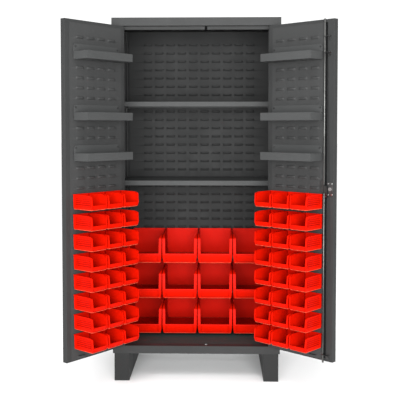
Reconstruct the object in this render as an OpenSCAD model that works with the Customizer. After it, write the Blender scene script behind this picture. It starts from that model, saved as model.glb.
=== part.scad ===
// Parts bin cabinet: a welded sheet-steel cabinet on two legs, with two
// swinging doors, louvered panels, hook-on plastic bins, door trays, shelves
// and a three-point lock. Millimetres, +Z up, the open front faces -Y, and
// the origin is on the floor under the middle of the cabinet.

/* [Cabinet] */
// Outside width of the body
cab_w = 914.4; // [910:0.1:940]
// Outside depth of the body
cab_d = 609.6; // [605:0.1:640]
// Overall height above the floor
cab_h = 1981.2; // [1978:0.1:2010]
// Height of the legs under the body
leg_h = 152.4; // [140:0.1:160]
// Thickness of the body's steel sheet
sheet = 2; // [1.6:0.1:2.2]
// Visible height of the rail over the doors
header_h = 44.2; // [40:0.1:46]
// Visible height of the rail under the doors
sill_h = 42.6; // [38:0.1:44]
// Half width of the door opening, to the stile's edge
open_half = 415.5; // [415.5:0.1:416.5]
// Half width between the door stops
stop_half = 391; // [388:0.5:392]

/* [Doors] */
// How far the left door stands open, degrees from closed
left_open = 128; // [100:0.5:150]
// How far the right door stands open, degrees from closed
right_open = 138; // [100:0.5:150]
// Half distance between the two doors' hinge lines
hinge_x = 414; // [413.8:0.1:414.2]
// How far the hinge line stands in front of the body's face
hinge_out = 6; // [5.9:0.1:6.5]
// Depth of a door pan
door_t = 30; // [28:0.5:30]
// Bottom edge of the doors above the floor
door_z0 = 203; // [200:0.5:205]
// Top edge of the doors above the floor
door_z1 = 1931; // [1928:0.5:1932]
// Thickness of the doors' steel sheet
skin = 1.5; // [1.2:0.1:1.6]

/* [Louvers] */
// Vertical distance between louver rows
row_p = 50.8; // [50.8:0.1:51]
// Width of one louver
louv_w = 52; // [44:1:56]
// How far a louver's lip stands off its panel
louv_out = 6.5; // [6:0.1:6.8]
// Distance between louver columns on the back panel
back_col_p = 69.5; // [66:0.5:72]
// Distance between louver columns on the doors
door_col_p = 74; // [72:0.5:76]

/* [Bins] */
// Width of a large bin
big_w = 200.6; // [196:0.1:201.5]
// Depth of a large bin
big_d = 374.6; // [360:0.1:375]
// Height of a large bin
big_h = 155; // [150:0.1:160]
// Side-by-side distance of the large bins
big_p = 202; // [202:0.5:206]
// Width of a small bin
small_w = 109; // [100:0.1:109.5]
// Depth of a small bin
small_d = 136.5; // [125:0.1:137]
// Height of a small bin
small_h = 76.2; // [72:0.1:77]
// Side-by-side distance of the small bins
small_p = 113.5; // [111:0.5:114]

/* [Shelves and trays] */
// Height of the upper shelf's top face
shelf_hi = 1535; // [1500:1:1560]
// Height of the lower shelf's top face
shelf_lo = 1088; // [1085:1:1120]
// Height of a shelf's front lip
shelf_lip = 27; // [22:1:30]
// Length of a door tray
tray_l = 317.5; // [300:0.5:318]
// Depth of a door tray
tray_d = 101.6; // [90:0.1:102]
// Height of a door tray's front lip
tray_lip = 40; // [34:1:42]
// Height of a door tray's back
tray_back = 79; // [76:1:82]

/* [Lock] */
// Height of the handle's spindle
lock_z = 1080; // [1079:1:1084]
// Distance of the lock rods from the hinge line
rod_t = 361; // [360.5:0.5:361.5]
// Radius of a lock rod
rod_r = 4.75; // [4.5:0.05:4.8]
// Distance of the cam's pins from the spindle
pin_r = 13; // [12.5:0.1:13]

/* [Hidden] */
$fn = 48;
yf = -cab_d / 2;             // front face of the body
yb = cab_d / 2;              // back face of the body
hw = cab_w / 2;
z_head = cab_h - header_h;   // underside of the header
z_sill = leg_h + sill_h;     // top of the sill
stop_y = yf + door_t + 1;    // front of the door stops
flange_d = 52;               // depth of the header's and sill's flanges
rod_s = 38.5;                // rod axis, measured in from a door's outer face
panel_s = door_t + skin;     // inner face of the doors' louver panels
back_face = yb - 30;         // front face of the back louver panel
back_rows = [for (k = [0:33]) 1897 - row_p * k];
door_rows = [for (k = [0:32]) 221.4 + row_p * k];
big_rows = [for (j = [0:2]) 207 + 4 * row_p * j];
small_rows = [for (j = [0:7]) 267 + 2 * row_p * j];
tray_rows = [1731, 1426, 1221.5];
hinge_zs = [420, 1067, 1714];
guide_zs = [1845, 1765, 235];
pin_a = 45;
rod_top = door_z1 + 2;
rod_bot = door_z0 - 6;

steel = [0.27, 0.28, 0.29];
steel_in = [0.33, 0.34, 0.35];
red = [0.86, 0.08, 0.03];
zinc = [0.72, 0.72, 0.70];
bright = [0.80, 0.81, 0.83];

// ---------- placing ----------
// A box from its two corners
module box(a, b) { translate(a) cube([b[0] - a[0], b[1] - a[1], b[2] - a[2]]); }
// A profile drawn as [depth, height] run along X, from x0 over length l
module along_x(x0, l, pts) {
    translate([x0, 0, 0]) rotate([90, 0, 90]) linear_extrude(l) polygon(pts);
}
// Door coordinates: X from the hinge line, Y inwards from the outer face
module on_left_door() {
    translate([-hinge_x, yf - hinge_out, 0]) rotate([0, 0, -left_open])
        translate([0, hinge_out, 0]) children();
}
module on_right_door() {
    translate([hinge_x, yf - hinge_out, 0]) rotate([0, 0, right_open])
        mirror([1, 0, 0]) translate([0, hinge_out, 0]) children();
}

// ---------- body shell ----------
module side_sheet() {
    box([-hw, yf + sheet, leg_h], [-hw + sheet, yb - sheet, cab_h - sheet]);
    box([-hw + sheet, yf + sheet, leg_h], [-hw + 84, yb - sheet, leg_h + sheet]);
}
module left_side_panel() { color(steel) union() { side_sheet(); } }
module right_side_panel() { color(steel) mirror([1, 0, 0]) union() { side_sheet(); } }
module back_panel() {
    color(steel) box([-hw, yb - sheet, leg_h], [hw, yb, cab_h - sheet]);
}
module top_panel() {
    color(steel) box([-hw, yf, cab_h - sheet], [hw, yb, cab_h]);
}
module floor_panel() {
    color(steel_in) box([-hw + sheet, yf + flange_d, z_sill - sheet],
        [hw - sheet, yb - sheet, z_sill]);
}
module rod_hole(z) {
    translate([hinge_x - rod_t, yf + rod_s, z - 10]) cylinder(r = 7, h = 20);
}
module header_rail() {
    color(steel) difference() {
        union() {
            box([-hw, yf, z_head], [hw, yf + sheet, cab_h - sheet]);
            box([-open_half, yf + sheet, z_head], [open_half, yf + flange_d, z_head + sheet]);
            box([-stop_half, stop_y, z_head - 18], [stop_half, stop_y + sheet, z_head]);
        }
        rod_hole(z_head);
        // the extended rod's way through the stop as the door swings
        box([hinge_x - rod_t - 7, stop_y - 1, z_head - 19], [hinge_x - rod_t + 7, stop_y + sheet + 1, z_head]);
    }
}
module sill_rail() {
    color(steel) difference() {
        union() {
            box([-hw, yf, leg_h], [hw, yf + sheet, z_sill]);
            box([-hw + sheet, yf + sheet, z_sill - sheet], [hw - sheet, yf + flange_d, z_sill]);
            box([-hw + 85, yf + sheet, leg_h], [hw - 85, yf + flange_d, leg_h + sheet]);
        }
        rod_hole(z_sill);
    }
}
module stile() {
    translate([0, 0, z_sill]) linear_extrude(z_head - z_sill) polygon([
        [-hw, yf], [-open_half, yf], [-open_half, stop_y], [-stop_half, stop_y],
        [-stop_half, stop_y + sheet], [-open_half - sheet, stop_y + sheet],
        [-open_half - sheet, yf + sheet], [-hw, yf + sheet]]);
}
module left_stile() { color(steel) stile(); }
module right_stile() { color(steel) mirror([1, 0, 0]) stile(); }
module leg() {
    difference() {
        box([-449, yf + 3, 0], [-368, yb - 4, leg_h]);
        box([-446, yf + 6, 3], [-371, yb, leg_h - 3]);
    }
}
module left_leg() { color(steel) leg(); }
module right_leg() { color(steel) mirror([1, 0, 0]) leg(); }

// ---------- louvers ----------
// One column: the sheet's own strip with a lip in front of each row; the
// pockets open upwards. Drawn with the sheet's face at Y = 0, lips to -Y.
module louver_column(x, rows, z0, z1, t) {
    along_x(x - louv_w / 2, louv_w, concat([[t, z0], [0, z0]],
        [for (z = rows) each [[0, z - 12], [-louv_out, z - 3],
            [-louv_out, z + 3], [-louv_out + 1.4, z + 3],
            [-louv_out + 1.4, z - 2.4], [0, z - 8.5]]],
        [[0, z1], [t, z1]]));
}
function up(rows) = [for (i = [0:len(rows) - 1]) rows[len(rows) - 1 - i]];
module back_louver_panel() {
    color(steel_in) translate([0, back_face, 0]) union() {
        difference() {
            box([-430, 0, 203], [430, sheet, 1935]);
            for (i = [0:9]) box([(i - 4.5) * back_col_p - louv_w / 2, -1, 202],
                [(i - 4.5) * back_col_p + louv_w / 2, sheet + 1, 1936]);
        }
        for (i = [0:9]) louver_column((i - 4.5) * back_col_p, up(back_rows), 203, 1935, sheet);
        for (s = [-1, 1]) box([s * 429 - 1, sheet, 203], [s * 429 + 1, yb - back_face - sheet, 1935]);
    }
}
// Door louver panel between t0 and t1 on a door, columns round tc
module door_louvers(t0, t1, tc) {
    translate([0, panel_s, 0]) mirror([0, 1, 0]) union() {
        difference() {
            box([t0, 0, 212], [t1, skin, 1915]);
            for (i = [0:3]) box([tc + (i - 1.5) * door_col_p - louv_w / 2, -1, 211],
                [tc + (i - 1.5) * door_col_p + louv_w / 2, skin + 1, 1916]);
        }
        for (i = [0:3]) louver_column(tc + (i - 1.5) * door_col_p, door_rows, 212, 1915, skin);
    }
}

// ---------- inside fittings ----------
module shelf_standards() {
    color(steel_in) for (s = [-1, 1], y = [-70, 225])
        translate([s * (hw - sheet - 7), y, 0]) difference() {
            box([-7, -15, 240], [7, 15, 1900]);
            box([s > 0 ? -5 : -8, -13, 239], [s > 0 ? 8 : 5, 13, 1901]);
        }
}
module shelf_clips() {
    color(zinc) for (s = [-1, 1], y = [-70, 225], z = [shelf_hi, shelf_lo])
        mirror([s < 0 ? 1 : 0, 0, 0]) translate([hw - sheet - 14, y, z - shelf_lip]) union() {
            box([-20, -9, -3], [0, 9, 0]);
            box([-3, -9, -24], [0, 9, -3]);
        }
}
module shelf(z) {
    difference() {
        box([-438, -112, z - shelf_lip], [438, 262, z]);
        box([-438 + skin, -112 + skin, z - shelf_lip - 1], [438 - skin, 262 - skin, z - skin]);
    }
}
module upper_shelf() { color(steel_in) shelf(shelf_hi); }
module lower_shelf() { color(steel_in) shelf(shelf_lo); }

// ---------- hinges ----------
knuck_r = 5.2;
module frame_leaf() {
    for (z = [-45, 16]) difference() {
        union() {
            translate([0, 0, z]) cylinder(r = knuck_r, h = 29);
            box([-33, hinge_out - 2, z], [0, hinge_out, z + 29]);
        }
        translate([0, 0, z - 1]) cylinder(r = 3, h = 31);
    }
    box([-33, hinge_out - 2, -16], [-7, hinge_out, 16]);
}
module hinge_frame_leaves() {
    color(steel) for (s = [0, 1], z = hinge_zs) mirror([s, 0, 0])
        translate([-hinge_x, yf - hinge_out, z]) union() { frame_leaf(); }
}
module hinge_pins() {
    color(zinc) for (s = [-1, 1], z = hinge_zs)
        translate([s * hinge_x, yf - hinge_out, z - 46]) union() {
            cylinder(r = 3, h = 92);
            cylinder(r = 4.6, h = 1);
            translate([0, 0, 91]) cylinder(r = 4.6, h = 1.5);
        }
}
// Drawn in door coordinates, so the knuckle sits at Y = -hinge_out
module door_leaf() {
    difference() {
        union() {
            translate([0, -hinge_out, -15.7]) cylinder(r = knuck_r, h = 31.4);
            box([0, -2, -15.7], [34, 0, 15.7]);
        }
        translate([0, -hinge_out, -17]) cylinder(r = 3.08, h = 34);
    }
    box([7, -2, -45], [34, 0, -15.7]);
    box([7, -2, 15.7], [34, 0, 45]);
}
module door_leaves() { for (z = hinge_zs) translate([0, 0, z]) union() { door_leaf(); } }
module left_door_hinge_leaves() { color(steel) on_left_door() door_leaves(); }
module right_door_hinge_leaves() { color(steel) on_right_door() door_leaves(); }

// ---------- doors ----------
// A pan open to the inside; free_w is the width of the free edge's return
module door_pan(free_w, lock) {
    w1 = hinge_x - 1.5;
    difference() {
        union() {
            difference() {
                box([1.5, 0, door_z0], [w1, door_t, door_z1]);
                box([1.5 + skin, skin, door_z0 + skin], [w1 - skin, door_t + 1, door_z1 - skin]);
            }
            box([1.5 + skin, door_t - skin, door_z0 + skin], [30, door_t, door_z1 - skin]);
            box([w1 - free_w, door_t - skin, door_z0 + skin], [w1 - skin, door_t, door_z1 - skin]);
            box([30, door_t - skin, door_z0 + skin], [w1 - free_w, door_t, door_z0 + 16]);
            box([30, door_t - skin, door_z1 - 16], [w1 - free_w, door_t, door_z1 - skin]);
            if (lock) {
                box([350, skin, door_z0 + 16], [350 + skin, door_t, door_z1 - 16]);
                box([w1 - free_w, skin, door_z0 + skin], [w1 - free_w + skin, door_t - skin, door_z1 - skin]);
            }
        }
        if (lock) translate([rod_t, -1, lock_z]) rotate([-90, 0, 0]) cylinder(r = 8.2, h = 6);
    }
}
module left_door_pan() { color(steel) on_left_door() door_pan(33, false); }
module right_door_pan() { color(steel) on_right_door() door_pan(40.5, true); }
module left_door_louver_panel() { color(steel_in) on_left_door() door_louvers(24, 384, 205); }
module right_door_louver_panel() { color(steel_in) on_right_door() door_louvers(24, 351.5, 186); }

// Side profile drawn in [depth, height], run along X
module tray(x0, z) {
    k = 1.5;
    translate([0, panel_s + louv_out + 0.2, z]) difference() {
        along_x(x0, tray_l, [[0, 0], [tray_d, 0], [tray_d, tray_lip], [k, tray_lip],
            [k, tray_back], [0, tray_back]]);
        along_x(x0 + k, tray_l - 2 * k, [[k, k], [tray_d - k, k], [tray_d - k, tray_back + 1], [k, tray_back + 1]]);
        for (x = [x0 + 12, x0 + tray_l - 12]) translate([x, -1, tray_back - 13])
            rotate([-90, 0, 0]) cylinder(r = 2.75, h = 4);
    }
}
tray_x_l = 205 - tray_l / 2;
tray_x_r = 30;
module left_tray_upper() { color(steel_in) on_left_door() tray(tray_x_l, tray_rows[0]); }
module left_tray_middle() { color(steel_in) on_left_door() tray(tray_x_l, tray_rows[1]); }
module left_tray_lower() { color(steel_in) on_left_door() tray(tray_x_l, tray_rows[2]); }
module right_tray_upper() { color(steel_in) on_right_door() tray(tray_x_r, tray_rows[0]); }
module right_tray_middle() { color(steel_in) on_right_door() tray(tray_x_r, tray_rows[1]); }
module right_tray_lower() { color(steel_in) on_right_door() tray(tray_x_r, tray_rows[2]); }
// A shoulder screw through the tray's back, its head inside the tray
module tray_screw(x, z) {
    translate([x, panel_s, z]) rotate([-90, 0, 0]) union() {
        cylinder(r = 5, h = louv_out + 0.2);
        cylinder(r = 2.6, h = louv_out + 1.7);
        translate([0, 0, louv_out + 1.7]) cylinder(r = 4.5, h = 2.4);
    }
}
module tray_screws(x0) {
    for (z = tray_rows, x = [x0 + 12, x0 + tray_l - 12]) tray_screw(x, z + tray_back - 13);
}
module left_tray_screws() { color(zinc) on_left_door() tray_screws(tray_x_l); }

// ---------- lock ----------
module guide(z) {
    translate([0, 0, z]) difference() {
        union() {
            box([354, door_t, -1], [394, rod_s + 9, 1]);
            box([373.5, door_t, -18], [394, door_t + 2, -1]);
        }
        translate([rod_t, rod_s, -5]) cylinder(r = rod_r + 0.4, h = 10);
    }
}
module rod_guides() { color(zinc) on_right_door() for (z = guide_zs) union() { guide(z); } }
module right_door_screws() {
    color(zinc) on_right_door() {
        tray_screws(tray_x_r);
        for (z = guide_zs, x = [379, 388.5])
            translate([x, door_t + 2, z - 10]) rotate([-90, 0, 0]) cylinder(r = 3.4, h = 2);
    }
}
// Axis through the handle, pointing inwards through the door
module on_spindle() {
    on_right_door() translate([rod_t, 0, lock_z]) rotate([-90, 0, 0]) children();
}
module lock_escutcheon() {
    color(bright) on_spindle() difference() {
        union() {
            translate([-21, -62, -3]) cube([42, 124, 3]);
            translate([0, 0, -3]) cylinder(r = 8, h = 33);
        }
        translate([0, 0, -4]) cylinder(r = 5.08, h = 35);
    }
}
// Y points down here, so the lever hangs down at rest
module door_handle() {
    color(bright) on_spindle() difference() {
        union() {
            translate([0, 0, -19]) cylinder(r = 16, h = 15.7);
            translate([-9, 0, -17.5]) cube([18, 112, 9]);
            translate([0, 112, -17.5]) cylinder(r = 9, h = 9);
        }
        translate([0, 0, -20]) cylinder(r = 7.08, h = 10);
    }
}
module handle_spindle() {
    color(zinc) on_spindle() translate([0, 0, -3.3]) cylinder(r = 5, h = 39.3);
}
module lock_plug() {
    color(zinc) on_spindle() difference() {
        translate([0, 0, -20]) cylinder(r = 7, h = 9.8);
        translate([-0.9, -4.5, -20.5]) cube([1.8, 9, 6]);
    }
}
// Pins at rest: the upper rod's towards the hinge side and low
module latch_cam() {
    color(zinc) on_spindle() translate([0, 0, 33]) difference() {
        union() {
            rotate([0, 0, -pin_a]) translate([-pin_r, -5, 0]) cube([2 * pin_r, 10, 3]);
            for (s = [-1, 1]) rotate([0, 0, -pin_a]) translate([s * pin_r, 0, 0]) cylinder(r = 5, h = 3);
            cylinder(r = 8.5, h = 3);
        }
        translate([0, 0, -1]) cylinder(r = 5, h = 5);
    }
}
module cam_pins() {
    color(bright) on_spindle() for (s = [-1, 1])
        rotate([0, 0, -pin_a]) translate([s * pin_r, 0, 36]) union() {
            cylinder(r = 3, h = 4.7);
            translate([0, 0, 4.7]) cylinder(r = 4.8, h = 1.4);
        }
}
// End plate of the upper rod, in the spindle's frame, with the pin's slot
module rod_plate() {
    px = pin_r * cos(pin_a);
    difference() {
        union() {
            box([-19.5, rod_s - 1.5, -px - 8], [-1.2, rod_s + 1.5, 42]);
            box([-1.2, rod_s - 1.5, 22], [rod_r, rod_s + 1.5, 42]);
        }
        box([-pin_r - 3.3, rod_s - 5, -px - 3.9], [-px + 3.3, rod_s + 5, -px + 3.9]);
    }
}
module upper_lock_rod() {
    color(zinc) on_right_door() translate([rod_t, 0, lock_z]) union() {
        translate([0, rod_s, 22]) cylinder(r = rod_r, h = rod_top - lock_z - 22);
        rod_plate();
    }
}
module lower_lock_rod() {
    color(zinc) on_right_door() translate([rod_t, 0, lock_z]) union() {
        translate([0, rod_s, rod_bot - lock_z]) cylinder(r = rod_r, h = lock_z - rod_bot - 22);
        mirror([0, 0, 1]) mirror([1, 0, 0]) rod_plate();
    }
}

// ---------- bins ----------
// Drawn with the back at Y = 0, the front towards +Y, centred on X.
// lip: front lip height; post: height of the front posts; fl: their width.
module bin(w, d, h, t, lip, post, fl, hook_z) {
    difference() {
        along_x(-w / 2, w, [[0, 0], [d - 0.045 * d, 0], [d, lip], [d - 0.03 * d, post],
            [d - 0.06 * d, post + 0.5 * (h - post)], [d - 0.3 * d, h], [0, h]]);
        along_x(-w / 2 + t, w - 2 * t, [[t, t], [d - 0.045 * d - t, t], [d - t, lip],
            [d - 0.03 * d - t, post], [d - 0.06 * d - t, post + 0.5 * (h - post)],
            [d - 0.3 * d - t, h - t], [d - 0.3 * d - t, h + 5], [t, h + 5]]);
        along_x(-w / 2 + t, w - 2 * t, [[t, h - 6], [d - 0.3 * d, h - 6],
            [d - 0.3 * d, h + 5], [t, h + 5]]);
        along_x(-w / 2 + fl, w - 2 * fl, [[d - 0.3 * d, lip], [d + 9, lip],
            [d + 9, h + 5], [d - 0.3 * d, h + 5]]);
    }
    // the hook: a rib out of the back wall and a lip hanging from it
    box([-w / 2 + 6, -3.6, hook_z + 3.1], [w / 2 - 6, 0, hook_z + 6]);
    box([-w / 2 + 6, -3.6, hook_z - 1], [w / 2 - 6, -1.8, hook_z + 3.1]);
}
module big_bin() { bin(big_w, big_d, big_h, 2.6, 54, 142, 15, 115.2); }
module small_bin() { bin(small_w, small_d, small_h, 2.0, 23, 66, 7, 56); }
module back_row(j) {
    for (i = [0:3]) translate([(i - 1.5) * big_p, back_face - louv_out - 0.3, big_rows[j]])
        mirror([0, 1, 0]) union() { big_bin(); }
}
module door_bin_row(tc, j) {
    for (i = [-1:1]) translate([tc + i * small_p, panel_s + louv_out + 0.3, small_rows[j]])
        union() { small_bin(); }
}
left_tc = 205;
right_tc = 186;
module back_bins_row_1() { color(red) back_row(2); }
module back_bins_row_2() { color(red) back_row(1); }
module back_bins_row_3() { color(red) back_row(0); }
module left_row(n) { color(red) on_left_door() door_bin_row(left_tc, 8 - n); }
module right_row(n) { color(red) on_right_door() door_bin_row(right_tc, 8 - n); }

left_side_panel();
right_side_panel();
back_panel();
top_panel();
floor_panel();
header_rail();
sill_rail();
left_stile();
right_stile();
left_leg();
right_leg();
back_louver_panel();
shelf_standards();
shelf_clips();
upper_shelf();
lower_shelf();
hinge_frame_leaves();
hinge_pins();
left_door_pan();
left_door_louver_panel();
left_door_hinge_leaves();
left_tray_upper();
left_tray_middle();
left_tray_lower();
left_tray_screws();
right_door_pan();
right_door_louver_panel();
right_door_hinge_leaves();
right_tray_upper();
right_tray_middle();
right_tray_lower();
right_door_screws();
rod_guides();
lock_escutcheon();
door_handle();
handle_spindle();
latch_cam();
cam_pins();
lock_plug();
upper_lock_rod();
lower_lock_rod();
back_bins_row_1();
back_bins_row_2();
back_bins_row_3();
left_row(1);  // left_bins_row_1
left_row(2);  // left_bins_row_2
left_row(3);  // left_bins_row_3
left_row(4);  // left_bins_row_4
left_row(5);  // left_bins_row_5
left_row(6);  // left_bins_row_6
left_row(7);  // left_bins_row_7
left_row(8);  // left_bins_row_8
right_row(1);  // right_bins_row_1
right_row(2);  // right_bins_row_2
right_row(3);  // right_bins_row_3
right_row(4);  // right_bins_row_4
right_row(5);  // right_bins_row_5
right_row(6);  // right_bins_row_6
right_row(7);  // right_bins_row_7
right_row(8);  // right_bins_row_8
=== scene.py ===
"""Looks of the parts bin cabinet: detailed bins, pressed louvers, soft-edged
sheet steel, procedural finishes, a pale studio and the photograph's view."""
from math import cos, pi, radians, sin

import bmesh
import bpy
from mathutils import Matrix, Vector


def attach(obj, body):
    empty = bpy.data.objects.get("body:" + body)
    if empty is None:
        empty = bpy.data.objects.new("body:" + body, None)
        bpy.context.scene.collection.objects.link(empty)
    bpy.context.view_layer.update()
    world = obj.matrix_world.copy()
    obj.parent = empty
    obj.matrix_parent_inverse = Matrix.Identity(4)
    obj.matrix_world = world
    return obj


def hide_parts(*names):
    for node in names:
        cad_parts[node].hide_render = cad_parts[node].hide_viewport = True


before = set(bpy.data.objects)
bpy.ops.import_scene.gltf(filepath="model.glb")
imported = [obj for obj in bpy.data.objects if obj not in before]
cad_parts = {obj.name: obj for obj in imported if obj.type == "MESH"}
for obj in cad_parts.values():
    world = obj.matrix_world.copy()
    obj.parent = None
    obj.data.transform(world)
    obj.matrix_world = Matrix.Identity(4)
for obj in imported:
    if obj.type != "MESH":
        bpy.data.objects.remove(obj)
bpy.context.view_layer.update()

MM = 0.001
YF, YB = -304.8, 304.8          # front and back of the body
LEFT_OPEN, RIGHT_OPEN = 128.0, 138.0
HINGE_X, HINGE_OUT = 414.0, 6.0
PANEL_S = 31.5                  # inner face of a door's louver panel
LOUVER = 6.5                    # how far a louver stands out
BACK_FACE = YB - 30.0
ROW_P = 50.8
BACK_ROWS = [1897 - ROW_P * k for k in range(34)]
DOOR_ROWS = [221.4 + ROW_P * k for k in range(33)]
BIG = dict(w=200.6, d=374.6, h=155.0, t=2.6, lip=54, post=141, fl=15, dr=2.0, rim=0.6,
           low=4.5, ch=4.0, back=0.70)
SMALL = dict(w=109.0, d=136.5, h=76.2, t=2.0, lip=24, post=67, fl=6.5, dr=2.0, rim=1.3,
             low=2.2, ch=2.6, back=0.80)
BIG_P, SMALL_P = 202.0, 113.5
LEFT_TC, RIGHT_TC = 205.0, 186.0
BIG_ROWS = [613.4, 410.2, 207.0]
SMALL_ROWS = [267 + 101.6 * (8 - n) for n in range(1, 9)]

# ------------------------------------------------------------ placing
UNIT = Matrix.Diagonal((MM, MM, MM, 1))
LEFT = (Matrix.Translation((-HINGE_X * MM, (YF - HINGE_OUT) * MM, 0))
        @ Matrix.Rotation(radians(-LEFT_OPEN), 4, "Z")
        @ Matrix.Translation((0, HINGE_OUT * MM, 0)))
RIGHT = (Matrix.Translation((HINGE_X * MM, (YF - HINGE_OUT) * MM, 0))
         @ Matrix.Rotation(radians(RIGHT_OPEN), 4, "Z")
         @ Matrix.Diagonal((-1, 1, 1, 1))
         @ Matrix.Translation((0, HINGE_OUT * MM, 0)))


# ------------------------------------------------------------ node helpers
class Nodes:
    def __init__(self, name, color=(0.5, 0.5, 0.5), rough=0.5, metal=0.0):
        self.mat = bpy.data.materials.new(name)
        self.mat.use_nodes = True
        self.mat.diffuse_color = (*color, 1)
        self.t = self.mat.node_tree
        self.b = self.t.nodes["Principled BSDF"]
        self.b.inputs["Base Color"].default_value = (*color, 1)
        self.b.inputs["Roughness"].default_value = rough
        self.b.inputs["Metallic"].default_value = metal
        self.co = self.t.nodes.new("ShaderNodeTexCoord").outputs["Object"]

    def link(self, a, b):
        self.t.links.new(a, b)

    def noise(self, scale, detail=3.0, rough=0.5, stretch=None):
        n = self.t.nodes.new("ShaderNodeTexNoise")
        n.inputs["Scale"].default_value = scale
        n.inputs["Detail"].default_value = detail
        n.inputs["Roughness"].default_value = rough
        src = self.co
        if stretch:
            m = self.t.nodes.new("ShaderNodeMapping")
            m.inputs["Scale"].default_value = stretch
            self.link(src, m.inputs["Vector"])
            src = m.outputs["Vector"]
        self.link(src, n.inputs["Vector"])
        return n.outputs["Fac"]

    def ramp(self, fac, stops):
        r = self.t.nodes.new("ShaderNodeValToRGB")
        e = r.color_ramp.elements
        while len(e) < len(stops):
            e.new(0.5)
        for el, (pos, col) in zip(e, stops):
            el.position = pos
            el.color = (*col, 1) if len(col) == 3 else col
        self.link(fac, r.inputs["Fac"])
        return r.outputs["Color"]

    def span(self, fac, lo, hi, a=0.0, b=1.0):
        m = self.t.nodes.new("ShaderNodeMapRange")
        m.inputs["From Min"].default_value = a
        m.inputs["From Max"].default_value = b
        m.inputs["To Min"].default_value = lo
        m.inputs["To Max"].default_value = hi
        self.link(fac, m.inputs["Value"])
        return m.outputs["Result"]

    def math(self, op, a, b):
        m = self.t.nodes.new("ShaderNodeMath")
        m.operation = op
        for i, v in enumerate((a, b)):
            if isinstance(v, (int, float)):
                m.inputs[i].default_value = v
            else:
                self.link(v, m.inputs[i])
        return m.outputs[0]

    def bump(self, height, strength, distance, normal=None):
        b = self.t.nodes.new("ShaderNodeBump")
        b.inputs["Strength"].default_value = strength
        b.inputs["Distance"].default_value = distance
        self.link(height, b.inputs["Height"])
        if normal is not None:
            self.link(normal, b.inputs["Normal"])
        return b.outputs["Normal"]


def powder_coat(name, dark, light, rough=0.44):
    """Satin powder coat on sheet steel: a little cloudy, with orange peel."""
    m = Nodes(name, light, rough)
    cloud = m.noise(2.2, 4.0, 0.55)
    fine = m.noise(160.0, 2.0, 0.6)
    mix = m.math("ADD", m.math("MULTIPLY", cloud, 0.75), m.math("MULTIPLY", fine, 0.25))
    m.link(m.ramp(mix, [(0.32, dark), (0.68, light)]), m.b.inputs["Base Color"])
    rub = m.noise(9.0, 5.0, 0.65)
    m.link(m.span(rub, rough - 0.07, rough + 0.09, 0.3, 0.7), m.b.inputs["Roughness"])
    wave = m.noise(7.0, 2.0, 0.5)
    n1 = m.bump(wave, 0.10, 0.004)
    peel = m.noise(620.0, 2.0, 0.55)
    m.link(m.bump(peel, 0.16, 0.00035, n1), m.b.inputs["Normal"])
    m.b.inputs["Specular IOR Level"].default_value = 0.06
    return m.mat


def moulded_plastic(name, dark, light, scuff_and_highlight):
    """Semi-gloss moulded polypropylene, pale along its lower edges with wear and a painted highlight, darkened
    in grooves and corners with painted shade.
    """
    m = Nodes(name, light, 0.36)
    flow = m.noise(14.0, 3.0, 0.55, (1.0, 1.0, 0.35))
    base = m.ramp(flow, [(0.3, dark), (0.7, light)])
    cut = m.t.nodes.new("ShaderNodeSeparateXYZ")
    m.link(m.co, cut.inputs["Vector"])
    # pale peach band round the foot: wear and a painted highlight, broken up by noise
    edge = m.ramp(m.math("MULTIPLY", cut.outputs["Z"], 200.0),
                  [(0.06, (0, 0, 0)), (0.18, (1, 1, 1)), (0.62, (1, 1, 1)), (0.85, (0, 0, 0))])
    wear_and_highlight = m.math("MULTIPLY", edge, m.span(m.noise(60.0, 3.0, 0.6), 0.45, 1.0, 0.35, 0.6))
    # a bin's inside floor lies at the same height but gets no pale band
    face = m.t.nodes.new("ShaderNodeSeparateXYZ")
    m.link(m.t.nodes.new("ShaderNodeTexCoord").outputs["Normal"], face.inputs["Vector"])
    wear_and_highlight = m.math("MULTIPLY", wear_and_highlight, m.span(face.outputs["Z"], 1.0, 0.0, 0.1, 0.5))
    mix = m.t.nodes.new("ShaderNodeMix")
    mix.data_type = "RGBA"
    m.link(wear_and_highlight, mix.inputs[0])
    m.link(base, mix.inputs[6])
    mix.inputs[7].default_value = (*scuff_and_highlight, 1)
    # painted shade: ambient occlusion within 7 mm pulls grooves, ribs and inside corners towards a deep red
    ao = m.t.nodes.new("ShaderNodeAmbientOcclusion")
    ao.inputs["Distance"].default_value = 0.007
    ao.samples = 6
    painted_shade = m.t.nodes.new("ShaderNodeMix")
    painted_shade.data_type = "RGBA"
    m.link(m.math("POWER", ao.outputs["AO"], 2.4), painted_shade.inputs[0])
    painted_shade.inputs[6].default_value = (0.13, 0.0004, 0.0, 1)
    m.link(mix.outputs[2], painted_shade.inputs[7])
    m.link(painted_shade.outputs[2], m.b.inputs["Base Color"])
    rub = m.noise(55.0, 4.0, 0.6)
    m.link(m.span(rub, 0.38, 0.54, 0.3, 0.7), m.b.inputs["Roughness"])
    sink = m.noise(22.0, 1.0, 0.5)
    n1 = m.bump(sink, 0.12, 0.0012)
    grain = m.noise(1400.0, 2.0, 0.5)
    m.link(m.bump(grain, 0.12, 0.00012, n1), m.b.inputs["Normal"])
    m.b.inputs["Specular IOR Level"].default_value = 0.03
    return m.mat


def plated(name, dark, light, rough, streak):
    """Plated steel: streaks along its length, spangle and a few dull spots."""
    m = Nodes(name, light, rough, 1.0)
    line = m.noise(38.0, 4.0, 0.6, streak)
    spot = m.noise(30.0, 3.0, 0.6)
    mix = m.math("ADD", m.math("MULTIPLY", line, 0.6), m.math("MULTIPLY", spot, 0.4))
    m.link(m.ramp(mix, [(0.34, dark), (0.62, light)]), m.b.inputs["Base Color"])
    m.link(m.span(mix, rough - 0.07, rough + 0.12, 0.3, 0.7), m.b.inputs["Roughness"])
    m.link(m.bump(line, 0.14, 0.0002), m.b.inputs["Normal"])
    return m.mat


# One grey powder coat in copies of different brightness: the pan, leg and inner coats are darker copies of the
# body coat, painted shade.
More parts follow.
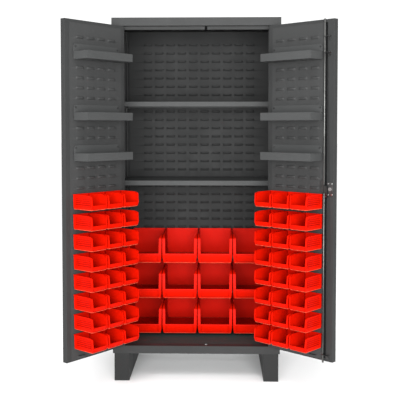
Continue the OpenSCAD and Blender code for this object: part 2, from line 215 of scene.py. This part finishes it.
BODY = powder_coat("body_coat", (0.023, 0.0235, 0.0235), (0.029, 0.0295, 0.0295))
PAN = powder_coat("pan_coat", (0.020, 0.0205, 0.0205), (0.025, 0.0255, 0.0255))
LEG = powder_coat("leg_coat", (0.014, 0.0144, 0.0144), (0.018, 0.0184, 0.0184))
INNER = powder_coat("inner_coat", (0.015, 0.0154, 0.0154), (0.019, 0.0194, 0.0194), 0.5)
DOORIN = powder_coat("door_panel_coat", (0.025, 0.0255, 0.0255), (0.031, 0.0315, 0.0315), 0.5)
SHELF = powder_coat("shelf_coat", (0.031, 0.032, 0.032), (0.039, 0.040, 0.040), 0.5)
FLOORC = powder_coat("sill_coat", (0.018, 0.032, 0.031), (0.024, 0.041, 0.040), 0.5)
# the last colour is the pale band along the bins' lower edges: wear and a painted highlight
RED = moulded_plastic("red_moulding", (0.385, 0.0034, 0.0002), (0.435, 0.0044, 0.0004),
                      (0.46, 0.085, 0.045))
ZINC = plated("zinc_plating", (0.038, 0.038, 0.037), (0.092, 0.092, 0.089), 0.36, (1, 1, 0.06))
GUIDE = plated("dark_plating", (0.045, 0.045, 0.045), (0.09, 0.09, 0.09), 0.42, (1, 1, 1))
BOSS = plated("bright_plating", (0.17, 0.17, 0.166), (0.36, 0.36, 0.352), 0.27, (1, 1, 1))
SATIN = powder_coat("satin_casting", (0.13, 0.13, 0.132), (0.17, 0.17, 0.173), 0.38)


# ------------------------------------------------------------ mesh helpers
def quad_prism(bm, pts, f):
    """A closed prism: pts is its outline, f(p, side) gives each corner."""
    a = [bm.verts.new(f(p, 0)) for p in pts]
    b = [bm.verts.new(f(p, 1)) for p in pts]
    bm.faces.new(a)
    bm.faces.new(list(reversed(b)))
    n = len(pts)
    for i in range(n):
        j = (i + 1) % n
        bm.faces.new((a[i], b[i], b[j], a[j]))


def block(bm, lo, hi):
    pts = [(lo[0], lo[1]), (hi[0], lo[1]), (hi[0], hi[1]), (lo[0], hi[1])]
    quad_prism(bm, pts, lambda p, s: (p[0], p[1], hi[2] if s else lo[2]))


def to_object(name, bm, matrix, body, material, replaces=(), angle=38,
              solidify=None, bevel=None, segments=2, closed=True):
    bmesh.ops.transform(bm, matrix=matrix, verts=bm.verts)
    if closed:
        bmesh.ops.recalc_face_normals(bm, faces=bm.faces)
    elif matrix.determinant() < 0:
        bmesh.ops.reverse_faces(bm, faces=bm.faces)
    mesh = bpy.data.meshes.new(name)
    bm.normal_update()
    for f in bm.faces:
        f.smooth = True
    for e in bm.edges:
        if len(e.link_faces) == 2 and e.calc_face_angle(0.0) > radians(angle):
            e.smooth = False
    bm.to_mesh(mesh)
    bm.free()
    if solidify:
        mesh = thicken(mesh, solidify[0] * MM, solidify[1], angle)
    mesh.name = name
    mesh.materials.append(material)
    o = bpy.data.objects.new(name, mesh)
    bpy.context.scene.collection.objects.link(o)
    if bevel:
        add_bevel(o, bevel, segments, angle)
    if body:
        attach(o, body)
        for n in replaces:
            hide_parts(n)
    return o


def mark_sharp(bm, angle):
    bm.normal_update()
    for f in bm.faces:
        f.smooth = True
    for e in bm.edges:
        e.smooth = not (len(e.link_faces) == 2 and e.calc_face_angle(0.0) > radians(angle))


def thicken(sheet, thickness, offset, angle, even=True):
    """A sheet mesh given its thickness, with its sharp edges marked."""
    tmp = bpy.data.objects.new("tmp", sheet)
    bpy.context.scene.collection.objects.link(tmp)
    m = tmp.modifiers.new("sheet", "SOLIDIFY")
    m.thickness = thickness
    m.offset = offset
    m.use_even_offset = even
    m.use_quality_normals = True
    deps = bpy.context.evaluated_depsgraph_get()
    solid = bpy.data.meshes.new_from_object(tmp.evaluated_get(deps))
    bpy.data.objects.remove(tmp)
    bm = bmesh.new()
    bm.from_mesh(solid)
    mark_sharp(bm, angle)
    bm.to_mesh(solid)
    bm.free()
    return solid


def add_bevel(o, width, segments=2, angle=35):
    b = o.modifiers.new("edge", "BEVEL")
    b.width = width * MM
    b.segments = segments
    b.limit_method = "ANGLE"
    b.angle_limit = radians(angle)
    b.harden_normals = True
    b.use_clamp_overlap = True
    b.miter_outer = "MITER_ARC"
    return b


# ------------------------------------------------------------ carried-over steel
def keep(node, material, bevel=0.7, segments=2):
    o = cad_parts[node]
    for s in o.material_slots:
        s.material = material
    if bevel:
        w = o.modifiers.new("weld", "WELD")
        w.merge_threshold = 0.00002
        add_bevel(o, bevel, segments, 30)
    return o


for n in ("left_side_panel", "right_side_panel", "back_panel", "top_panel", "header_rail",
          "left_stile", "right_stile"):
    keep(n, BODY, 0.9)
for n in ("left_leg", "right_leg", "sill_rail"):
    keep(n, PAN if n == "sill_rail" else LEG, 0.9)
for n in ("left_door_pan", "right_door_pan"):
    keep(n, PAN, 0.7)
keep("floor_panel", FLOORC, 0.9)
for n in ("upper_shelf", "lower_shelf"):
    keep(n, SHELF, 0.6)
keep("shelf_standards", INNER, 0.6)
for n in ("hinge_frame_leaves", "left_door_hinge_leaves", "right_door_hinge_leaves"):
    keep(n, BODY, 0.5)
for n in ("rod_guides", "left_tray_screws", "right_door_screws", "latch_cam"):
    keep(n, GUIDE, 0.35)
for n in ("shelf_clips", "hinge_pins", "handle_spindle", "cam_pins", "lock_plug",
          "upper_lock_rod", "lower_lock_rod"):
    keep(n, ZINC, 0.35)
keep("lock_escutcheon", SATIN, 0.8, 3)
keep("door_handle", SATIN, 2.2, 4)


# ------------------------------------------------------------ louvered panels
SIDE = ((-26.0, 0.0), (-23.6, 0.40), (-20.6, 0.78), (-16.5, 1.0),
        (16.5, 1.0), (20.6, 0.78), (23.6, 0.40), (26.0, 0.0))
RISE = ((-11.0, 0.0), (-8.8, 0.30), (-6.4, 0.62), (-3.6, 0.86), (-0.8, 0.975), (2.2, 1.0))


def louver_sheet(cols, x0, x1, z0, z1, rows, place):
    """A sheet with rows of pressed louvers, each slit open along its top."""
    xs = [(x0, None, 0.0)]
    for c in cols:
        for i, (dx, f) in enumerate(SIDE):
            xs.append((c + dx, i, f))
    xs.append((x1, None, 0.0))
    zs = [(z0, 0.0, False)]
    for r in sorted(rows):
        for i, (dz, g) in enumerate(RISE):
            zs.append((r + dz, g, i == len(RISE) - 1))
    zs.append((z1, 0.0, False))
    bm = bmesh.new()
    low, up = [], []
    for (z, g, slit) in zs:
        lo_row, up_row = [], []
        for (x, i, f) in xs:
            v = bm.verts.new(place(x, LOUVER * f * g, z))
            lo_row.append(v)
            if slit and i is not None and f > 0:
                up_row.append(bm.verts.new(place(x, 0.0, z + 1.2)))
            else:
                up_row.append(v)
        low.append(lo_row)
        up.append(up_row)
    for j in range(len(zs) - 1):
        for i in range(len(xs) - 1):
            bm.faces.new((up[j][i], up[j][i + 1], low[j + 1][i + 1], low[j + 1][i]))
    return bm


back_cols = [(i - 4.5) * 69.5 for i in range(10)]
bm = louver_sheet(back_cols, -430, 430, 203, 1972, BACK_ROWS,
                  lambda x, s, z: (x, BACK_FACE - s, z))
to_object("back_louvers", bm, UNIT, "cabinet", INNER, ["back_louver_panel"],
          angle=28, solidify=(1.2, -1.0), closed=False)
for side, M, x0, x1, tc in (("left", LEFT, 24, 384, 205), ("right", RIGHT, 24, 351.5, 186)):
    cols = [tc + (i - 1.5) * 74 for i in range(4)]
    # X mirrored and Y towards the room: the winding is reversed
    bm = louver_sheet(cols, x0, x1, 208, 1915, DOOR_ROWS,
                      lambda x, s, z: (x, PANEL_S + s, z))
    bmesh.ops.reverse_faces(bm, faces=bm.faces)
    to_object(f"{side}_door_louvers", bm, M @ UNIT, f"{side}_door", DOORIN,
              [f"{side}_door_louver_panel"], angle=28, solidify=(1.2, -1.0), closed=False)


# ------------------------------------------------------------ door trays
TRAY = dict(l=317.5, d=101.6, lip=40.0, back=79.0)


def tray_sheet(l, d, lip, back, k=0.75):
    """A folded tray: tall screwed back, low ends, hemmed front lip."""
    bm = bmesh.new()

    def v(x, y, z):
        return bm.verts.new((x, y, z))
    x0, x1, y1 = k, l - k, d - k
    c = 9.0
    b = [v(x0, k, k), v(x1, k, k), v(x1, k, lip - k), v(x1, k, back - c), v(x1 - c, k, back),
         v(x0 + c, k, back), v(x0, k, back - c), v(x0, k, lip - k)]
    bm.faces.new(b)
    f = [v(x0, y1, k), v(x1, y1, k), v(x1, y1, lip - k), v(x0, y1, lip - k)]
    bm.faces.new((f[0], f[1], f[2], f[3]))
    bm.faces.new((b[0], b[1], f[1], f[0]))
    bm.faces.new((b[0], f[0], f[3], b[7]))
    bm.faces.new((b[1], b[2], f[2], f[1]))
    h = [v(x0 + 2, y1 - 7, lip - k), v(x1 - 2, y1 - 7, lip - k),
         v(x1 - 2, y1 - 7, lip - k - 4), v(x0 + 2, y1 - 7, lip - k - 4)]
    bm.faces.new((f[3], f[2], h[1], h[0]))
    bm.faces.new((h[0], h[1], h[2], h[3]))
    bmesh.ops.recalc_face_normals(bm, faces=bm.faces)
    return bm


for side, M, x0 in (("left", LEFT, 205 - TRAY["l"] / 2), ("right", RIGHT, 30.0)):
    for level, z in (("upper", 1731.0), ("middle", 1426.0), ("lower", 1221.5)):
        bm = tray_sheet(**TRAY)
        spot = Matrix.Translation((x0, PANEL_S + LOUVER + 0.2, z))
        to_object(f"{side}_door_tray_{level}", bm, M @ UNIT @ spot, f"{side}_door", SHELF,
                  [f"{side}_tray_{level}"], angle=30, solidify=(1.5, 0.0),
                  bevel=0.4, closed=False)

# the lock's backing plate on the door's return
bm = bmesh.new()
quad_prism(bm, [(381, -36), (405, -36), (409, -31), (409, 31), (405, 36), (381, 36),
                (377, 31), (377, -31)], lambda p, q: (p[0], 32.6 if q else 30.1, 1080 + p[1]))
to_object("lock_backing_plate", bm, RIGHT @ UNIT, "right_door", GUIDE,
          angle=30, bevel=0.4)
# its four screws and the boss over the spindle
bm = bmesh.new()
for cx in (382.5, 403.5):
    for cz in (-28, 28):
        for r, y0, y1 in ((4.4, 32.4, 33.6), (3.0, 33.4, 34.6)):
            quad_prism(bm, [(cx + r * cos(a * pi / 6), cz + r * sin(a * pi / 6)) for a in range(12)],
                       lambda p, q: (p[0], y1 if q else y0, 1080 + p[1]))
quad_prism(bm, [(393 + 9.5 * cos(a * pi / 10), 9.5 * sin(a * pi / 10)) for a in range(20)],
           lambda p, q: (p[0], 35.6 if q else 32.4, 1080 + p[1]))
to_object("lock_backing_screws", bm, RIGHT @ UNIT, "right_door", BOSS,
          angle=30, bevel=0.4)


# ------------------------------------------------------------ bins
def bin_mesh(name, w, d, h, t, lip, post, fl, dr, rim, low, ch, back, hook):
    """A hook-on bin: drafted walls, open front over a lip, posts, rims, ribs.
    low is how much further the foot draws in, ch the bevel round the floor,
    back where the side walls reach their full height, as a share of d."""
    k = t / 2
    zm = 0.24 * h

    def half(z):
        out = w / 2 - rim - k - dr * (1 - z / h)
        if z < zm:
            out -= low * (zm - z) / zm
        return out - (ch if z <= k else 0)

    levels = [(k, 0.955 * d - k - ch), (k + ch, 0.957 * d - k),
              (min(zm, lip * 0.8), (0.957 + 0.043 * min(zm, lip * 0.8) / lip) * d - k),
              (lip, d - k - 0.3), (post, 0.97 * d - k),
              (post + 0.35 * (h - post), 0.945 * d - k), (h - k, back * d - k)]
    widths = {3: fl, 4: fl, 5: fl * 0.8, 6: fl * 0.3}
    bm = bmesh.new()
    B, F, I = {}, {}, {}
    for i, (z, y) in enumerate(levels):
        for s in (-1, 1):
            B[i, s] = bm.verts.new((s * half(z), k, z))
            F[i, s] = bm.verts.new((s * half(z), y, z))
            if i in widths:
                I[i, s] = bm.verts.new((s * (half(z) - widths[i]), y, z))
    n = len(levels)
    for i in range(n - 1):
        bm.faces.new((B[i, -1], B[i, 1], B[i + 1, 1], B[i + 1, -1]))
        for s in (-1, 1):
            bm.faces.new((B[i, s], F[i, s], F[i + 1, s], B[i + 1, s]))
            if i >= 3:
                bm.faces.new((F[i, s], I[i, s], I[i + 1, s], F[i + 1, s]))
        if i < 2:
            bm.faces.new((F[i, -1], F[i, 1], F[i + 1, 1], F[i + 1, -1]))
    bm.faces.new((F[2, -1], F[2, 1], F[3, 1], I[3, 1], I[3, -1], F[3, -1]))
    bm.faces.new((B[0, -1], B[0, 1], F[0, 1], F[0, -1]))
    top = h - k
    for s in (-1, 1):
        xo = s * (w / 2 - k)
        ye = levels[-1][1] - 0.045 * d
        to, ro = bm.verts.new((xo, ye, top)), bm.verts.new((xo, k, top))
        td = bm.verts.new((xo, ye, top - 0.055 * h))
        rd = bm.verts.new((xo, k, top - 0.055 * h))
        bm.faces.new((F[n - 1, s], B[n - 1, s], ro, to))
        bm.faces.new((to, ro, rd, td))
    # the back wall's top edge turned out towards the panel
    r0 = bm.verts.new((-half(top), -6.0 + k, top))
    r1 = bm.verts.new((half(top), -6.0 + k, top))
    bm.faces.new((B[n - 1, -1], B[n - 1, 1], r1, r0))
    bmesh.ops.recalc_face_normals(bm, faces=bm.faces)
    mesh = bpy.data.meshes.new(name + "_sheet")
    bm.to_mesh(mesh)
    bm.free()
    bm = bmesh.new()
    bm.from_mesh(thicken(mesh, t, 0, 38, even=False))
    # ribs along the outer sides
    for s in (-1, 1):
        for i in range(5):
            z = h * (0.30 + 0.125 * i)
            x = half(z) + k
            e = rim + dr * (1 - z / h)
            y1 = d * (0.93 if i < 4 else 0.90)
            pts = [(d * 0.14, z - 0.028 * h), (y1, z - 0.028 * h), (y1, z + 0.028 * h),
                   (d * 0.14, z + 0.028 * h)]
            quad_prism(bm, pts, lambda p, q: (s * (x + (e if q else -0.4)), p[0], p[1]))
    # bead along the lip's top and a card rail round the lip's face
    lb = half(lip) - fl * 0.35
    quad_prism(bm, [(d - t * 1.2, lip - 0.02 * h), (d - 0.05, lip - 0.02 * h),
                    (d - 0.05, lip + 0.018 * h), (d - t * 1.2, lip + 0.018 * h)],
               lambda p, q: (lb if q else -lb, p[0], p[1]))
    slope = (0.045 * d) / lip
    for z, hgt in ((lip * 0.16, 0.014 * h),):
        y = 0.955 * d + slope * z
        quad_prism(bm, [(y - 0.5, z), (y + 0.28 * t + 0.2, z), (y + 0.28 * t + 0.2, z + hgt),
                        (y - 0.5, z + hgt)],
                   lambda p, q: (lb * 0.86 if q else -lb * 0.86, p[0], p[1]))
    for s in (-1, 1):
        a, b = lb * 0.86 - 0.012 * w, lb * 0.86
        z0, z1 = lip * 0.16, lip * 0.86
        y0, y1 = 0.955 * d + slope * z0, 0.955 * d + slope * z1
        g = 0.28 * t + 0.2
        quad_prism(bm, [(y0 - 0.5, z0), (y0 + g, z0), (y1 + g, z1), (y1 - 0.5, z1)],
                   lambda p, q: (s * (b if q else a), p[0], p[1]))
    # stiffening ribs under the floor, hook and its gussets
    for x in (-0.28, 0.0, 0.28):
        block(bm, (x * w - 0.6 * k, d * 0.12, 0.05), (x * w + 0.6 * k, d * 0.86, k))
    block(bm, (-w / 2 + 6, -3.6, hook + 3.1), (w / 2 - 6, k, hook + 6))
    block(bm, (-w / 2 + 6, -3.6, hook - 1), (w / 2 - 6, -1.8, hook + 3.2))
    for i in range(5):
        x = (i - 2) * (w / 2 - 14) / 2
        quad_prism(bm, [(0.2, hook + 5.8), (-3.3, hook + 5.8), (0.2, hook + 5.8 + min(0.09 * h, h - hook - 7))],
                   lambda p, q: (x + (0.9 if q else -0.9), p[0], p[1]))
    bmesh.ops.transform(bm, matrix=UNIT, verts=bm.verts)
    mark_sharp(bm, 38)
    out = bpy.data.meshes.new(name)
    bm.to_mesh(out)
    bm.free()
    out.materials.append(RED)
    return out


small_mesh = bin_mesh("small_bin", **SMALL, hook=56)
big_mesh = bin_mesh("large_bin", **BIG, hook=115.2)


def place_bin(name, mesh, spot, turn, body, node, bevel):
    o = bpy.data.objects.new(name, mesh)
    bpy.context.scene.collection.objects.link(o)
    o.location = spot
    o.rotation_euler = (0, 0, turn)
    add_bevel(o, bevel, 2, 32)
    bpy.context.view_layer.update()
    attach(o, body)
    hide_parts(node)
    return o


for r in (1, 2, 3):
    for i in range(4):
        place_bin(f"back_bin_{r}_{i + 1}", big_mesh,
                  Vector(((i - 1.5) * BIG_P, BACK_FACE - LOUVER - 0.3, BIG_ROWS[r - 1])) * MM,
                  pi, f"back_row_{r}", f"back_bins_row_{r}", 0.8)
for n in range(1, 9):
    for i in (-1, 0, 1):
        p = LEFT @ (Vector((LEFT_TC + i * SMALL_P, PANEL_S + LOUVER + 0.3, SMALL_ROWS[n - 1])) * MM)
        place_bin(f"left_bin_{n}_{i + 2}", small_mesh, p, radians(-LEFT_OPEN),
                  f"left_row_{n}", f"left_bins_row_{n}", 0.55)
        p = RIGHT @ (Vector((RIGHT_TC + i * SMALL_P, PANEL_S + LOUVER + 0.3, SMALL_ROWS[n - 1])) * MM)
        place_bin(f"right_bin_{n}_{i + 2}", small_mesh, p, radians(RIGHT_OPEN),
                  f"right_row_{n}", f"right_bins_row_{n}", 0.55)


# ------------------------------------------------------------ studio
def stage_plane(name, z, size, color):
    bm = bmesh.new()
    bmesh.ops.create_grid(bm, x_segments=2, y_segments=2, size=size)
    bmesh.ops.translate(bm, vec=(0, 0, z), verts=bm.verts)
    mesh = bpy.data.meshes.new(name)
    bm.to_mesh(mesh)
    bm.free()
    m = Nodes(name + "_mat", color, 0.75)
    m.link(m.ramp(m.noise(0.8, 2.0), [(0.3, tuple(c * 0.985 for c in color)), (0.7, color)]),
           m.b.inputs["Base Color"])
    mesh.materials.append(m.mat)
    o = bpy.data.objects.new(name, mesh)
    bpy.context.scene.collection.objects.link(o)
    return o


stage_plane("studio_floor", -0.0005, 60.0, (0.90, 0.90, 0.90))

world = bpy.data.worlds.new("studio")
bpy.context.scene.world = world
world.use_nodes = True
bg = world.node_tree.nodes["Background"]
bg.inputs["Color"].default_value = (1.0, 1.0, 1.0, 1)
bg.inputs["Strength"].default_value = 1.14


def softbox(name, spot, aim, size, energy, color=(1, 1, 1)):
    d = bpy.data.lights.new(name, "AREA")
    d.shape = "RECTANGLE"
    d.size, d.size_y = size
    d.energy = energy
    d.color = color
    o = bpy.data.objects.new(name, d)
    o.location = spot
    o.rotation_mode = "QUATERNION"
    o.rotation_quaternion = (Vector(aim) - Vector(spot)).to_track_quat("-Z", "Y")
    bpy.context.scene.collection.objects.link(o)
    return o


softbox("key", (-0.4, -4.0, 4.5), (0, 0, 1.0), (2.6, 1.6), 150)
softbox("front", (0.2, -6.2, 1.4), (0, 0, 0.9), (4.4, 2.5), 780)

# ------------------------------------------------------------ camera
CAM = dict(x=0.1273, y=-4.4716, z=1.3923, yaw=-0.0255, pitch=-0.0428, roll=0.0008,
           f=770.8, sy=-40.0)
cd = bpy.data.cameras.new("view")
cd.sensor_width = 36.0
cd.lens = CAM["f"] * 36.0 / 400.0
cd.shift_y = CAM["sy"] / 400.0
cam = bpy.data.objects.new("view", cd)
fwd = Vector((sin(CAM["yaw"]) * cos(CAM["pitch"]), cos(CAM["yaw"]) * cos(CAM["pitch"]),
              sin(CAM["pitch"])))
cam.location = (CAM["x"], CAM["y"], CAM["z"])
cam.rotation_mode = "QUATERNION"
cam.rotation_quaternion = fwd.to_track_quat("-Z", "Y")
bpy.context.scene.collection.objects.link(cam)
bpy.context.scene.camera = cam
bpy.context.scene.view_settings.view_transform = "Standard"
